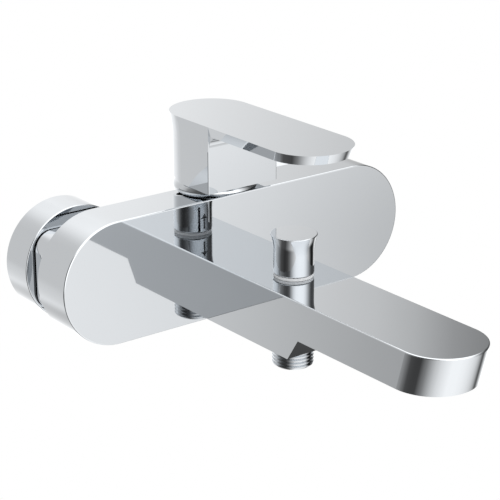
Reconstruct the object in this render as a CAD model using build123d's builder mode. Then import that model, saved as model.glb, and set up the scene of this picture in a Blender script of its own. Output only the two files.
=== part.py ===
"""Wall mounted bath faucet: a single lever bath and shower mixer with a pull-up diverter.

Millimetres, +Z up.  The origin lies on the finished wall, midway between the two inlet axes.
The wall is the plane y = 0, the faucet stands out towards -Y, and +X is to the right of
somebody who faces the wall.  A size called a reach is measured from the wall towards -Y.
"""

import os
from math import cos, radians, sqrt, tan

from build123d import *

# ---------------------------------------------------------------- clearances
touch_gap = 0.1          # screwed or pushed together, one rigid assembly
loose_gap = 0.3          # neighbours that must never rub
running_gap = 0.05       # radial running fit of a pin or a rod
edge_chamfer = 0.4       # small broken edges of turned pieces

# ---------------------------------------------------------------- front shell and body
inlet_spacing = 150.0    # between the two inlet axes
front_reach = 57.5       # wall to the polished front face
shell_height = 64.0
shell_depth = 24.0
shell_wall = 2.4
shell_edge_round = 0.7
shell_post_x = 40.0
shell_post_z = 13.5
shell_post_radius = 4.0
shell_screw_radius = 2.0
shell_screw_grip = 8.0    # how far the shell screws go into their posts

housing_overhang = 25.0  # past each inlet axis
housing_height = 42.0
housing_corner = 10.0
wall_gap = 20.1          # wall to the back of the housing
channel_radius = 6.0
channel_wall = 3.0
channel_z = -6.0
channel_reach = 41.0
channel_overhang = 20.0  # past each inlet axis
flange_thickness = 2.5   # plate that closes the back of the shell
flange_recess = 0.8
flange_gap = 0.2
channel_plug_length = 6.0

# ---------------------------------------------------------------- cartridge and its boss
cartridge_radius = 17.4
cartridge_shoulder = 2.8 # step from the cartridge to its neck
cartridge_wall = 2.3
seat_drop = 29.0         # from the top of the shell down to the cartridge's seat
shoulder_drop = 7.0
pivot_drop = 2.0         # from the top of the shell down to the pin that the lever rocks on
cartridge_rise = 5.5     # how far the cartridge stands above the shell
boss_wall = 2.9
boss_thread_depth = 1.0
boss_front_skin = 1.6    # what is left of the shell's front wall before the boss
disc_thickness = 3.5
base_height = 6.0
carrier_height = 4.5
rotor_housing_wall = 1.45
rotor_slot_half = 8.0
stem_width = 8.0
stem_rise = 26.0
ball_radius = 2.6
pin_radius = 1.5
port_radius = 3.5
port_edge = 2.3          # between a port and the rim of the ceramic discs
outlet_port_radius = 4.0
nut_collar_step = 1.5

# ---------------------------------------------------------------- lever handle
lift_limit = 15.0        # degrees that the lever lifts, the same as in the record
column_front_cheek = 2.05  # how far the flat front stands past the round of the column
handle_clearance = 3.2   # under the column, down to the shell
handle_rise = 38.2       # from the top of the shell to the top of the lever
plate_thickness = 4.8
plate_tip = 97.7         # cartridge axis to the tip of the lever plate
plate_overhang = 2.65    # how far the plate reaches past the back of the column
plate_tip_undercut = 2.0
plate_side_undercut = 0.7
neck_fillet = 6.0
handle_wall = 1.55
socket_radius = 9.0
dome_setback = 0.8       # dome inside the boss
dome_handle_gap = 0.4
dome_wall = 1.2
dome_rise = 8.0
dome_opening = 13.0
bead_swell = 1.2         # bead outside the boss
bead_rise = 2.8
bead_drop = 3.3

# ---------------------------------------------------------------- spout
spout_width = 44.0
spout_length = 170.0     # front face to the tip, along the top
spout_thickness = 20.0
spout_root_depth = 32.0
root_step_bottom = 65.2  # front face to the step, at the bottom of the root
root_step_top = 73.0     # front face to the step, where it meets the thin part
tip_undercut = 5.3
spout_wall = 3.5
spout_edge_round = 0.6
nipple_radius = 7.9
nipple_bore = 5.5
nipple_length = 26.0
nipple_z = -18.0
spout_screw_x = 14.0
spout_screw_z = -23.5
spout_screw_radius = 2.5
spout_screw_grip = 10.0
aerator_radius = 12.0
aerator_height = 9.0
aerator_lip = 0.8

# ---------------------------------------------------------------- diverter and shower outlet
diverter_reach = 100.0
knob_radius = 10.25
knob_flare_radius = 11.7
knob_height = 20.1
knob_lift_gap = 1.9      # under the knob when it is down
rod_radius = 3.0
guide_radius = 9.3
guide_collar_radius = 10.0
guide_key_x = 6.8        # two holes for a pin spanner
guide_key_radius = 1.0
guide_depth = 6.0
chamber_radius = 9.0
upper_seat_z = -12.0
lower_seat_z = -26.0
seat_hole_radius = 6.0
valve_radius = 7.8
seal_thickness = 1.8
valve_body_height = 3.0
outlet_bottom_z = -47.5
outlet_bore = 7.6

# ---------------------------------------------------------------- pipe threads (standard sizes)
half_inch_radius = 20.955 / 2
half_inch_root = 18.631 / 2
half_inch_pitch = 1.814
three_quarter_radius = 26.441 / 2

# ---------------------------------------------------------------- inlets
rosette_radius = 30.0
rosette_depth = 19.1
rosette_wall = 1.2
rosette_face = 1.5
nut_across_flats = 30.0
nut_length = 13.4
nut_gap = 0.2            # between the union nut and the housing
collar_radius = 12.0
tail_radius = 9.4
tail_bore = 6.5
tail_depth = 20.0
union_offset = 7.5       # how far the wall thread sits below the inlet axis
union_disc = 4.0
wall_thread_turns = 10
washer_thickness = 1.5

# ---------------------------------------------------------------- places worked out from the sizes
diverter_y = -diverter_reach
inlet_sides = {"left": -inlet_spacing / 2, "right": inlet_spacing / 2}
rosette_hole_radius = nut_across_flats / 2 / cos(radians(30)) + 0.5
shell_back_reach = front_reach - shell_depth
shell_inner_reach = front_reach - shell_wall
shell_top_z = shell_height / 2
housing_length = inlet_spacing + 2 * housing_overhang
channel_length = inlet_spacing + 2 * channel_overhang
seat_z = shell_top_z - seat_drop
shoulder_z = shell_top_z - shoulder_drop
pivot_z = shell_top_z - pivot_drop
cartridge_top_z = shell_top_z + cartridge_rise
stem_top_z = shell_top_z + stem_rise
handle_bottom_z = shell_top_z + handle_clearance
handle_top_z = shell_top_z + handle_rise
dome_top_z = shell_top_z + dome_rise
bead_top_z = shell_top_z + bead_rise
bead_bottom_z = shell_top_z - bead_drop
pocket_radius = cartridge_radius + loose_gap
boss_radius = pocket_radius + boss_wall
nut_thread_radius = pocket_radius + boss_thread_depth
cartridge_reach = front_reach - boss_front_skin - loose_gap - boss_radius
cartridge_y = -cartridge_reach
cartridge_axis = Axis((0, cartridge_y, 0), (0, 0, 1))
cartridge_neck_radius = cartridge_radius - cartridge_shoulder
disc_radius = cartridge_radius - cartridge_wall - loose_gap
rotor_radius = cartridge_neck_radius - rotor_housing_wall - running_gap
port_x = disc_radius - port_radius - port_edge
outlet_port_y = cartridge_y - disc_radius + outlet_port_radius + port_edge
dome_radius = boss_radius - dome_setback
bead_radius = boss_radius + bead_swell
half_width = dome_radius + dome_handle_gap + handle_wall
handle_front = half_width + column_front_cheek
plate_back = half_width + plate_overhang
disc_z = seat_z + base_height
carrier_z = disc_z + 2 * disc_thickness
rotor_z = carrier_z + carrier_height + loose_gap
ball_z = rotor_z - 1.5
# the moving disc keeps inside the housing at the end of its travel
disc_travel = (pivot_z - ball_z) * radians(lift_limit)
moving_disc_radius = disc_radius + loose_gap - disc_travel - 1.1
aerator_reach = front_reach + spout_length - tip_undercut - spout_width / 2 + 2.0
spout_tip_reach = front_reach + spout_length

os.makedirs("parts", exist_ok=True)


def save(piece, node_name):
    """Label a finished piece and write it as its own node."""
    piece.part.label = node_name
    export_step(piece.part, f"parts/{node_name}.step")


def turned(outline, centre_y, centre_x=0.0):
    """Solid turned about an upright axis from (radius, z) points."""
    with BuildPart() as piece:
        with BuildSketch(Plane(origin=(centre_x, centre_y, 0), x_dir=(1, 0, 0), z_dir=(0, -1, 0))):
            with BuildLine():
                Polyline(*outline, close=True)
            make_face()
        revolve(axis=Axis((centre_x, centre_y, 0), (0, 0, 1)))
    return piece


def turned_level(outline, centre_x, centre_z=0.0):
    """Solid turned about an axis that runs to the wall, from (radius, y) points."""
    with BuildPart() as piece:
        with BuildSketch(Plane.XY.offset(centre_z)):
            with BuildLine():
                Polyline(*[(centre_x + radius, y) for radius, y in outline], close=True)
            make_face()
        revolve(axis=Axis((centre_x, 0, centre_z), (0, 1, 0)))
    return piece


def pipe_thread(start, turns, way):
    """Ridges of a half inch pipe thread as (radius, distance) points, from start on."""
    points = []
    for turn in range(turns):
        base = start + way * turn * half_inch_pitch
        points.append((half_inch_root, base))
        points.append((half_inch_radius, base + way * 0.3 * half_inch_pitch))
        points.append((half_inch_radius, base + way * 0.6 * half_inch_pitch))
        points.append((half_inch_root, base + way * 0.9 * half_inch_pitch))
    return points


def o_ring(centre, along, ring_radius, cord_radius):
    """Rubber ring whose axis runs along the given direction."""
    across = Vector(1, 0, 0).cross(Vector(*along))
    with BuildPart() as ring:
        with BuildSketch(Plane(origin=centre, x_dir=(1, 0, 0), z_dir=across)):
            with Locations((ring_radius, 0)):
                Circle(cord_radius)
        revolve(axis=Axis(centre, along))
    return ring


# ================================================================ body
# ---------------------------------------------------------------- front shell
# Polished cover with round ends.  Open at the back, it slips over the waterway body.
with BuildPart() as front_shell:
    with BuildSketch(Plane.XZ.offset(shell_back_reach)):
        SlotCenterToCenter(inlet_spacing, shell_height)
    extrude(amount=shell_depth)
    fillet(front_shell.edges().group_by(Axis.Y)[0], shell_edge_round)
    with BuildSketch(Plane.XZ.offset(shell_back_reach)):
        SlotCenterToCenter(inlet_spacing, shell_height - 2 * shell_wall)
    extrude(amount=shell_depth - shell_wall, mode=Mode.SUBTRACT)
    # notch and shallow recess for the round cartridge boss
    with BuildSketch(Plane(origin=(0, cartridge_y, -housing_height / 2 - loose_gap))):
        Circle(boss_radius + loose_gap)
    extrude(amount=shell_height, mode=Mode.SUBTRACT)
    # posts that take the shell screws, as long as the room in front of the flange
    post_reach = shell_back_reach + flange_recess + flange_thickness
    with BuildSketch(Plane.XZ.offset(post_reach)):
        with Locations((-shell_post_x, shell_post_z), (shell_post_x, shell_post_z)):
            Circle(shell_post_radius)
    extrude(amount=front_reach - shell_wall - post_reach)
    with BuildSketch(Plane.XZ.offset(post_reach)):
        with Locations((-shell_post_x, shell_post_z), (shell_post_x, shell_post_z)):
            Circle(shell_screw_radius + touch_gap)
    extrude(amount=shell_screw_grip + 1.0, mode=Mode.SUBTRACT)
    # openings for the water nipple and the two spout screws
    with BuildSketch(Plane.XZ.offset(shell_inner_reach - touch_gap)):
        with Locations((0, nipple_z)):
            Circle(nipple_radius + loose_gap)
        with Locations((-spout_screw_x, spout_screw_z), (spout_screw_x, spout_screw_z)):
            Circle(spout_screw_radius + loose_gap)
    extrude(amount=shell_wall + 2 * touch_gap, mode=Mode.SUBTRACT)
save(front_shell, "front_shell")

# ---------------------------------------------------------------- waterway body
# One brass casting: the bar behind the shell, two sockets, the cross channels, the boss
# that holds the cartridge and the foot that the spout is screwed to.
bar_front_reach = shell_back_reach - loose_gap
bar_depth = bar_front_reach - wall_gap
foot_bottom_z = -shell_height / 2 + shell_wall + 1.1
foot_top_z = -6.0
socket_wall = 3.6
channel_tube_radius = channel_radius + channel_wall
with BuildPart() as body_casting:
    with BuildSketch(Plane.XZ.offset(wall_gap)):
        RectangleRounded(housing_length, housing_height, housing_corner)
    extrude(amount=bar_depth)
    chamfer(body_casting.edges().group_by(Axis.Y)[-1], 0.6)
    # flange that closes the back of the shell
    with BuildSketch(Plane.XZ.offset(shell_back_reach + flange_recess)):
        SlotCenterToCenter(inlet_spacing, shell_height - 2 * shell_wall - 2 * flange_gap)
    extrude(amount=flange_thickness)
    # tube that carries the cross channels
    with BuildSketch(Plane.YZ.offset(-channel_length / 2)):
        with Locations((-channel_reach, channel_z)):
            Circle(channel_tube_radius)
    extrude(amount=channel_length)
    # round sockets behind the two inlet tails
    with BuildSketch(Plane.XZ.offset(wall_gap + 1.0)):
        with Locations(*[(x, 0) for x in inlet_sides.values()]):
            Circle(tail_radius + socket_wall)
    extrude(amount=tail_depth + 5.0)
    # cartridge boss
    with BuildSketch(Plane(origin=(0, cartridge_y, -housing_height / 2))):
        Circle(boss_radius)
    extrude(amount=housing_height / 2 + shell_top_z)
    # foot for the spout
    with BuildSketch(Plane.XZ.offset(bar_front_reach)):
        with Locations((0, (foot_bottom_z + foot_top_z) / 2)):
            Rectangle(2 * spout_screw_x + 11.0, foot_top_z - foot_bottom_z)
    extrude(amount=shell_inner_reach - bar_front_reach)
    # pocket and thread for the cartridge
    with BuildSketch(Plane(origin=(0, cartridge_y, seat_z))):
        Circle(pocket_radius)
    extrude(amount=shell_top_z - seat_z, mode=Mode.SUBTRACT)
    with BuildSketch(Plane(origin=(0, cartridge_y, shoulder_z - 1.0))):
        Circle(nut_thread_radius)
    extrude(amount=shell_top_z - shoulder_z + 1.0, mode=Mode.SUBTRACT)
    # hot and cold ways: socket, cross channel, port under the cartridge
    with BuildSketch(Plane.XZ.offset(wall_gap)):
        with Locations(*[(x, 0) for x in inlet_sides.values()]):
            Circle(tail_radius + touch_gap)
    extrude(amount=tail_depth + 1.0, mode=Mode.SUBTRACT)
    for side in (-1, 1):
        with BuildSketch(Plane.YZ.offset(side * (port_x - port_radius + 2.5))):
            with Locations((-channel_reach, channel_z)):
                Circle(channel_radius)
        extrude(amount=side * channel_length, mode=Mode.SUBTRACT)
        with BuildSketch(Plane.YZ.offset(side * (channel_length / 2 - channel_plug_length))):
            with Locations((-channel_reach, channel_z)):
                Circle(channel_radius + 1.0)
        extrude(amount=side * channel_plug_length, mode=Mode.SUBTRACT)
        with BuildSketch(Plane(origin=(side * port_x, cartridge_y - 1.0, channel_z))):
            Circle(port_radius)
        extrude(amount=seat_z - channel_z, mode=Mode.SUBTRACT)
    # mixed water: down from the cartridge seat and forward into the spout nipple
    with BuildSketch(Plane(origin=(0, outlet_port_y, nipple_z))):
        Circle(outlet_port_radius)
    extrude(amount=seat_z - nipple_z, mode=Mode.SUBTRACT)
    with BuildSketch(Plane.XZ.offset(front_reach)):
        with Locations((0, nipple_z)):
            Circle(nipple_radius + touch_gap)
    extrude(amount=-nipple_length / 2, mode=Mode.SUBTRACT)
    with BuildSketch(Plane.XZ.offset(front_reach)):
        with Locations((0, nipple_z)):
            Circle(nipple_bore)
    extrude(amount=-(nipple_length / 2 + 4.0), mode=Mode.SUBTRACT)
    # holes for the spout screws, open to the wall side so that a key reaches them
    with BuildSketch(Plane.XZ.offset(front_reach)):
        with Locations((-spout_screw_x, spout_screw_z), (spout_screw_x, spout_screw_z)):
            Circle(spout_screw_radius + touch_gap)
    extrude(amount=-(front_reach - wall_gap), mode=Mode.SUBTRACT)
    with BuildSketch(Plane.XZ.offset(bar_front_reach)):
        with Locations((-spout_screw_x, spout_screw_z), (spout_screw_x, spout_screw_z)):
            Circle(spout_screw_radius + 2.3)
    extrude(amount=-bar_depth, mode=Mode.SUBTRACT)
    # counterbored holes for the shell screws
    with BuildSketch(Plane.XZ.offset(wall_gap)):
        with Locations((-shell_post_x, shell_post_z), (shell_post_x, shell_post_z)):
            Circle(shell_screw_radius + touch_gap)
    extrude(amount=post_reach - wall_gap, mode=Mode.SUBTRACT)
    with BuildSketch(Plane.XZ.offset(wall_gap)):
        with Locations((-shell_post_x, shell_post_z), (shell_post_x, shell_post_z)):
            Circle(shell_screw_radius + 2.0)
    extrude(amount=4.0, mode=Mode.SUBTRACT)
save(body_casting, "body_casting")


def socket_screws(centres, shank_radius, head_height, head_reach, length):
    """Group of cap screws with a hexagon socket; their heads face the wall."""
    head_radius = shank_radius * 1.7
    with BuildPart() as screws:
        with BuildSketch(Plane.XZ.offset(head_reach - head_height)):
            with Locations(*centres):
                Circle(head_radius)
        extrude(amount=head_height)
        fillet(screws.edges().group_by(Axis.Y)[-1], 0.3)
        with BuildSketch(Plane.XZ.offset(head_reach)):
            with Locations(*centres):
                Circle(shank_radius)
        extrude(amount=length)
        with BuildSketch(Plane.XZ.offset(head_reach - head_height)):
            with Locations(*centres):
                RegularPolygon(shank_radius * 0.9, 6)
        extrude(amount=head_height * 0.6, mode=Mode.SUBTRACT)
    return screws


shell_head_reach = wall_gap + 4.0
save(socket_screws([(-shell_post_x, shell_post_z), (shell_post_x, shell_post_z)],
                   shell_screw_radius, 3.0, shell_head_reach,
                   post_reach - shell_head_reach + shell_screw_grip), "shell_screws")
save(socket_screws([(-spout_screw_x, spout_screw_z), (spout_screw_x, spout_screw_z)],
                   spout_screw_radius, 4.0, bar_front_reach,
                   front_reach - bar_front_reach + spout_screw_grip - 1.0), "spout_screws")

# ---------------------------------------------------------------- plugs of the cross channels
with BuildPart() as channel_plugs:
    for side in (-1, 1):
        with BuildSketch(Plane.YZ.offset(side * (channel_length / 2 - channel_plug_length + touch_gap))):
            with Locations((-channel_reach, channel_z)):
                Circle(channel_radius + 1.0 - touch_gap)
        extrude(amount=side * (channel_plug_length - touch_gap))
        with BuildSketch(Plane.YZ.offset(side * channel_length / 2)):
            with Locations((-channel_reach, channel_z)):
                RegularPolygon(3.4, 6)
        extrude(amount=-side * 3.5, mode=Mode.SUBTRACT)
save(channel_plugs, "channel_plugs")

# ================================================================ inlets, one set each side
for side_name, inlet_x in inlet_sides.items():
    # inlet tail screwed into the body; its collar keeps the union nut on
    nut_front_y = -wall_gap + nut_gap
    lip_length = 1.7
    collar_front_y = nut_front_y + lip_length + touch_gap
    collar_back_y = collar_front_y + 2.0
    with BuildPart() as inlet_tail:
        add(turned_level([(tail_bore, -wall_gap - tail_depth), (tail_radius, -wall_gap - tail_depth),
                          (tail_radius, collar_front_y), (collar_radius, collar_front_y),
                          (collar_radius, collar_back_y), (tail_bore, collar_back_y)], inlet_x).part)
        with BuildSketch(Plane.XZ.offset(-collar_back_y)):
            with Locations((inlet_x, 0)):
                RegularPolygon(tail_bore + 1.0, 6)
        extrude(amount=8.0, mode=Mode.SUBTRACT)
    save(inlet_tail, f"{side_name}_inlet_tail")

    # union nut
    with BuildPart() as union_nut:
        with BuildSketch(Plane.XZ.offset(-nut_front_y)):
            with Locations((inlet_x, 0)):
                RegularPolygon(nut_across_flats / 2, 6, major_radius=False)
        extrude(amount=-nut_length)
        with BuildSketch(Plane.XZ.offset(-nut_front_y)):
            with Locations((inlet_x, 0)):
                Circle(tail_radius + loose_gap)
        extrude(amount=-lip_length, mode=Mode.SUBTRACT)
        with BuildSketch(Plane.XZ.offset(-nut_front_y - lip_length)):
            with Locations((inlet_x, 0)):
                Circle(three_quarter_radius + touch_gap)
        extrude(amount=-(nut_length - lip_length), mode=Mode.SUBTRACT)
        chamfer(union_nut.edges().filter_by(GeomType.LINE).filter_by(Axis.Y), 0.5)
    save(union_nut, f"{side_name}_union_nut")

    # flat rubber washer with a strainer in the middle
    washer_back_y = collar_back_y + washer_thickness
    with BuildPart() as filter_washer:
        with BuildSketch(Plane.XZ.offset(-collar_back_y)):
            with Locations((inlet_x, 0)):
                Circle(collar_radius)
        extrude(amount=-washer_thickness)
        with BuildSketch(Plane.XZ.offset(-collar_back_y)):
            with Locations((inlet_x, 0)):
                Circle(tail_bore + 1.5)
        extrude(amount=-(washer_thickness - 0.5), mode=Mode.SUBTRACT)
        with BuildSketch(Plane.XZ.offset(-washer_back_y)):
            with Locations((inlet_x, 0)):
                with GridLocations(2.6, 2.6, 5, 5):
                    Circle(0.8)
        extrude(amount=1.0, mode=Mode.SUBTRACT)
    save(filter_washer, f"{side_name}_filter_washer")

    # eccentric connector between the wall pipe and the union nut
    disc_front_y = -6.0
    with BuildPart() as eccentric_union:
        with BuildSketch(Plane.XZ.offset(-disc_front_y)):
            with Locations((inlet_x, 0)):
                Circle(three_quarter_radius + 0.6)
            with Locations((inlet_x, -union_offset)):
                Circle(half_inch_radius + 1.0)
            make_hull()
        extrude(amount=-union_disc)
        with BuildSketch(Plane.XZ.offset(-washer_back_y)):
            with Locations((inlet_x, 0)):
                Circle(three_quarter_radius)
        extrude(amount=washer_back_y - disc_front_y)
        wall_thread = pipe_thread(1.0, wall_thread_turns, 1)
        add(turned_level([(0, disc_front_y + 1.0), (half_inch_root, disc_front_y + 1.0)] + wall_thread
                         + [(0, wall_thread[-1][1])], inlet_x, -union_offset).part)
        with BuildSketch(Plane.XZ.offset(-washer_back_y)):
            with Locations((inlet_x, 0)):
                Circle(tail_bore + 1.5)
        extrude(amount=washer_back_y - disc_front_y - union_disc / 2, mode=Mode.SUBTRACT)
        with BuildSketch(Plane.XZ.offset(-disc_front_y - union_disc / 2)):
            with Locations((inlet_x, -union_offset)):
                Circle(tail_bore)
        extrude(amount=-30.0, mode=Mode.SUBTRACT)
    save(eccentric_union, f"{side_name}_eccentric_union")

    # round wall cover
    rosette = turned_level([(rosette_radius, 0), (rosette_radius, -rosette_depth + 0.6),
                            (rosette_radius - 0.6, -rosette_depth),
                            (rosette_hole_radius, -rosette_depth),
                            (rosette_hole_radius, -rosette_depth + rosette_face),
                            (rosette_radius - rosette_wall, -rosette_depth + rosette_face),
                            (rosette_radius - rosette_wall, 0)], inlet_x)
    save(rosette, f"{side_name}_rosette")

# ================================================================ cartridge
port_places = [(-port_x, -1.0), (port_x, -1.0)]
outlet_place = (0, outlet_port_y - cartridge_y)

with BuildPart() as cartridge_housing:
    add(turned([(cartridge_radius, seat_z + 2.0 + touch_gap), (cartridge_radius, shoulder_z),
                (cartridge_neck_radius, shoulder_z), (cartridge_neck_radius, cartridge_top_z - 0.8),
                (cartridge_neck_radius - 0.8, cartridge_top_z), (rotor_radius - 2.0, cartridge_top_z),
                (rotor_radius - 2.0, cartridge_top_z - 3.0),
                (rotor_radius + running_gap, cartridge_top_z - 3.0),
                (rotor_radius + running_gap, rotor_z - touch_gap),
                (disc_radius + loose_gap, rotor_z - touch_gap),
                (disc_radius + loose_gap, seat_z + 2.0 + touch_gap)], cartridge_y).part)
    # snap windows that hold the base
    with BuildSketch(Plane(origin=(0, cartridge_y, seat_z + 4.0))):
        with PolarLocations(cartridge_radius, 3, start_angle=90):
            Rectangle(8.0, 7.0)
    extrude(amount=2.0, mode=Mode.SUBTRACT)
save(cartridge_housing, "cartridge_housing")

with BuildPart() as cartridge_base:
    with BuildSketch(Plane(origin=(0, cartridge_y, seat_z))):
        Circle(cartridge_radius)
    extrude(amount=2.0)
    with BuildSketch(Plane(origin=(0, cartridge_y, seat_z + 2.0))):
        Circle(disc_radius + loose_gap - touch_gap)
    extrude(amount=base_height - 2.0)
    with BuildSketch(Plane(origin=(0, cartridge_y, seat_z))):
        with Locations(*port_places, outlet_place):
            Circle(port_radius)
    extrude(amount=base_height, mode=Mode.SUBTRACT)
    with BuildSketch(Plane(origin=(0, cartridge_y, seat_z))):
        with Locations(*port_places, outlet_place):
            Circle(port_radius + 1.2)
    extrude(amount=0.9, mode=Mode.SUBTRACT)
save(cartridge_base, "cartridge_base")

with BuildPart() as port_seals:
    for place_x, place_y in port_places + [outlet_place]:
        add(turned([(port_radius + 0.1, seat_z), (port_radius + 1.1, seat_z),
                    (port_radius + 1.1, seat_z + 0.8), (port_radius + 0.1, seat_z + 0.8)],
                   cartridge_y + place_y, place_x).part)
save(port_seals, "port_seals")

with BuildPart() as fixed_disc:
    with BuildSketch(Plane(origin=(0, cartridge_y, disc_z))):
        Circle(disc_radius)
        with Locations(*port_places):
            Circle(port_radius, mode=Mode.SUBTRACT)
        with Locations(outlet_place):
            SlotCenterToCenter(4.0, 2 * outlet_port_radius - 1.0, mode=Mode.SUBTRACT)
    extrude(amount=disc_thickness)
save(fixed_disc, "fixed_ceramic_disc")

with BuildPart() as moving_disc:
    with BuildSketch(Plane(origin=(0, cartridge_y, disc_z + disc_thickness))):
        Circle(moving_disc_radius)
        with Locations((0, -3.5)):
            SlotCenterToCenter(7.0, 6.0, mode=Mode.SUBTRACT)
    extrude(amount=disc_thickness)
save(moving_disc, "moving_ceramic_disc")

with BuildPart() as disc_carrier:
    with BuildSketch(Plane(origin=(0, cartridge_y, carrier_z))):
        Circle(moving_disc_radius)
    extrude(amount=carrier_height)
    with BuildSketch(Plane(origin=(0, cartridge_y, ball_z - ball_radius - loose_gap))):
        Circle(ball_radius + loose_gap)
    extrude(amount=carrier_height * 2, mode=Mode.SUBTRACT)
save(disc_carrier, "disc_carrier")

with BuildPart() as rotor:
    with BuildSketch(Plane(origin=(0, cartridge_y, rotor_z))):
        Circle(rotor_radius)
    extrude(amount=cartridge_top_z - 3.0 - loose_gap - rotor_z)
    with BuildSketch(Plane(origin=(0, cartridge_y, rotor_z))):
        Rectangle(stem_width + 2 * loose_gap, 2 * rotor_slot_half)
    extrude(amount=cartridge_top_z - rotor_z, mode=Mode.SUBTRACT)
    with BuildSketch(Plane.YZ.offset(-rotor_radius)):
        with Locations((cartridge_y, pivot_z)):
            Circle(pin_radius + touch_gap)
    extrude(amount=2 * rotor_radius, mode=Mode.SUBTRACT)
save(rotor, "cartridge_rotor")

with BuildPart() as pivot_pin:
    with BuildSketch(Plane.YZ.offset(-rotor_radius + 1.0)):
        with Locations((cartridge_y, pivot_z)):
            Circle(pin_radius)
    extrude(amount=2 * rotor_radius - 2.0)
    chamfer(pivot_pin.edges().filter_by(GeomType.CIRCLE), 0.3)
save(pivot_pin, "pivot_pin")

# ---------------------------------------------------------------- stem: ball, neck and square shank
shank_bottom_z = ball_z + 3.6
with BuildPart() as stem:
    with Locations((0, cartridge_y, ball_z)):
        Sphere(ball_radius)
    with BuildSketch(Plane(origin=(0, cartridge_y, ball_z))):
        Circle(ball_radius * 0.7)
    extrude(amount=shank_bottom_z - ball_z + 1.0)
    with BuildSketch(Plane(origin=(0, cartridge_y, shank_bottom_z))):
        RectangleRounded(stem_width, stem_width, 0.6)
    extrude(amount=stem_top_z - shank_bottom_z)
    chamfer(stem.edges().group_by(Axis.Z)[-1], 0.5)
    with BuildSketch(Plane.YZ.offset(-stem_width)):
        with Locations((cartridge_y, pivot_z)):
            Circle(pin_radius + running_gap)
    extrude(amount=2 * stem_width, mode=Mode.SUBTRACT)
save(stem, "cartridge_stem")

# ---------------------------------------------------------------- nut that clamps the cartridge
collar_outer = nut_thread_radius - nut_collar_step
nut_opening = cartridge_neck_radius + 0.4
with BuildPart() as retaining_nut:
    add(turned([(nut_opening, shoulder_z), (nut_thread_radius - touch_gap, shoulder_z),
                (nut_thread_radius - touch_gap, shell_top_z - touch_gap),
                (collar_outer, shell_top_z - touch_gap), (collar_outer, shell_top_z + 3.0),
                (nut_opening, shell_top_z + 3.0)], cartridge_y).part)
    with BuildSketch(Plane(origin=(0, cartridge_y, shell_top_z + 1.0))):
        with PolarLocations(collar_outer, 4, start_angle=45):
            Rectangle(6.0, 3.0)
    extrude(amount=2.0, mode=Mode.SUBTRACT)
save(retaining_nut, "cartridge_nut")

# ---------------------------------------------------------------- domed cap with a bead round its foot
# The dome is part of a ball about the rocking pin, so the handle can tilt over it.
dome_inner = dome_radius - dome_wall
dome_foot_radius = sqrt(dome_radius ** 2 - (bead_top_z - pivot_z) ** 2)
dome_rim_radius = sqrt(dome_radius ** 2 - (dome_top_z - pivot_z) ** 2)
inner_start_z = shell_top_z + 3.2
inner_start_radius = sqrt(dome_inner ** 2 - (inner_start_z - pivot_z) ** 2)
inner_rim_z = dome_top_z - dome_wall
inner_rim_radius = sqrt(dome_inner ** 2 - (inner_rim_z - pivot_z) ** 2)
bead_middle_z = (bead_top_z + bead_bottom_z) / 2
# the cap sits on the rim of the boss, round the collar of the nut
seat_inner = collar_outer + touch_gap
seat_outer = boss_radius + touch_gap
seat_top_z = shell_top_z + touch_gap


def on_ball(radius, low_z, high_z):
    """Point half way up the ball of the given radius about the rocking pin."""
    middle = (low_z + high_z) / 2
    return (sqrt(radius ** 2 - (middle - pivot_z) ** 2), middle)


with BuildPart() as domed_cap:
    with BuildSketch(Plane.XZ.offset(cartridge_reach)):
        with BuildLine():
            Line((seat_inner, seat_top_z), (seat_outer, seat_top_z))
            Line((seat_outer, seat_top_z), (seat_outer, bead_bottom_z))
            Line((seat_outer, bead_bottom_z), (seat_outer + 0.3, bead_bottom_z))
            ThreePointArc((seat_outer + 0.3, bead_bottom_z), (bead_radius, bead_middle_z),
                          (dome_foot_radius + 1.2, bead_top_z))
            Line((dome_foot_radius + 1.2, bead_top_z), (dome_foot_radius, bead_top_z))
            ThreePointArc((dome_foot_radius, bead_top_z), on_ball(dome_radius, bead_top_z, dome_top_z),
                          (dome_rim_radius, dome_top_z))
            Line((dome_rim_radius, dome_top_z), (dome_opening, dome_top_z))
            Line((dome_opening, dome_top_z), (dome_opening, inner_rim_z))
            Line((dome_opening, inner_rim_z), (inner_rim_radius, inner_rim_z))
            ThreePointArc((inner_rim_radius, inner_rim_z),
                          on_ball(dome_inner, inner_start_z, inner_rim_z),
                          (inner_start_radius, inner_start_z))
            Line((inner_start_radius, inner_start_z), (seat_inner, inner_start_z))
            Line((seat_inner, inner_start_z), (seat_inner, seat_top_z))
        make_face()
    revolve(axis=cartridge_axis)
    # over the shell the bead has no skirt
    with BuildSketch(Plane.XY.offset(bead_bottom_z - 1.0)):
        with Locations((0, -shell_back_reach + loose_gap)):
            Rectangle(shell_height, shell_height, align=(Align.CENTER, Align.MAX))
    extrude(amount=seat_top_z - bead_bottom_z + 1.0, mode=Mode.SUBTRACT)
save(domed_cap, "domed_cap")

# ================================================================ lever handle
# Upright column with a flat front and a round back, under a long lever plate.
handle_width = 2 * half_width
plate_bottom_z = handle_top_z - plate_thickness
relief_start = (bead_top_z + loose_gap + touch_gap - pivot_z) / cos(radians(lift_limit))
cavity_radius = half_width - handle_wall
cavity_top_z = plate_bottom_z - 4.0
socket_bottom_z = dome_top_z + 6.0
set_screw_radius = 2.5
set_screw_z = 53.0
plug_radius = 3.6


def column_outline(back_shift):
    """Plan of the column: straight front, straight sides and a round back moved back by back_shift."""
    Line((-half_width, back_shift), (-half_width, -handle_front))
    Line((-half_width, -handle_front), (half_width, -handle_front))
    Line((half_width, -handle_front), (half_width, back_shift))
    ThreePointArc((half_width, back_shift), (0, back_shift + half_width), (-half_width, back_shift))


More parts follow.
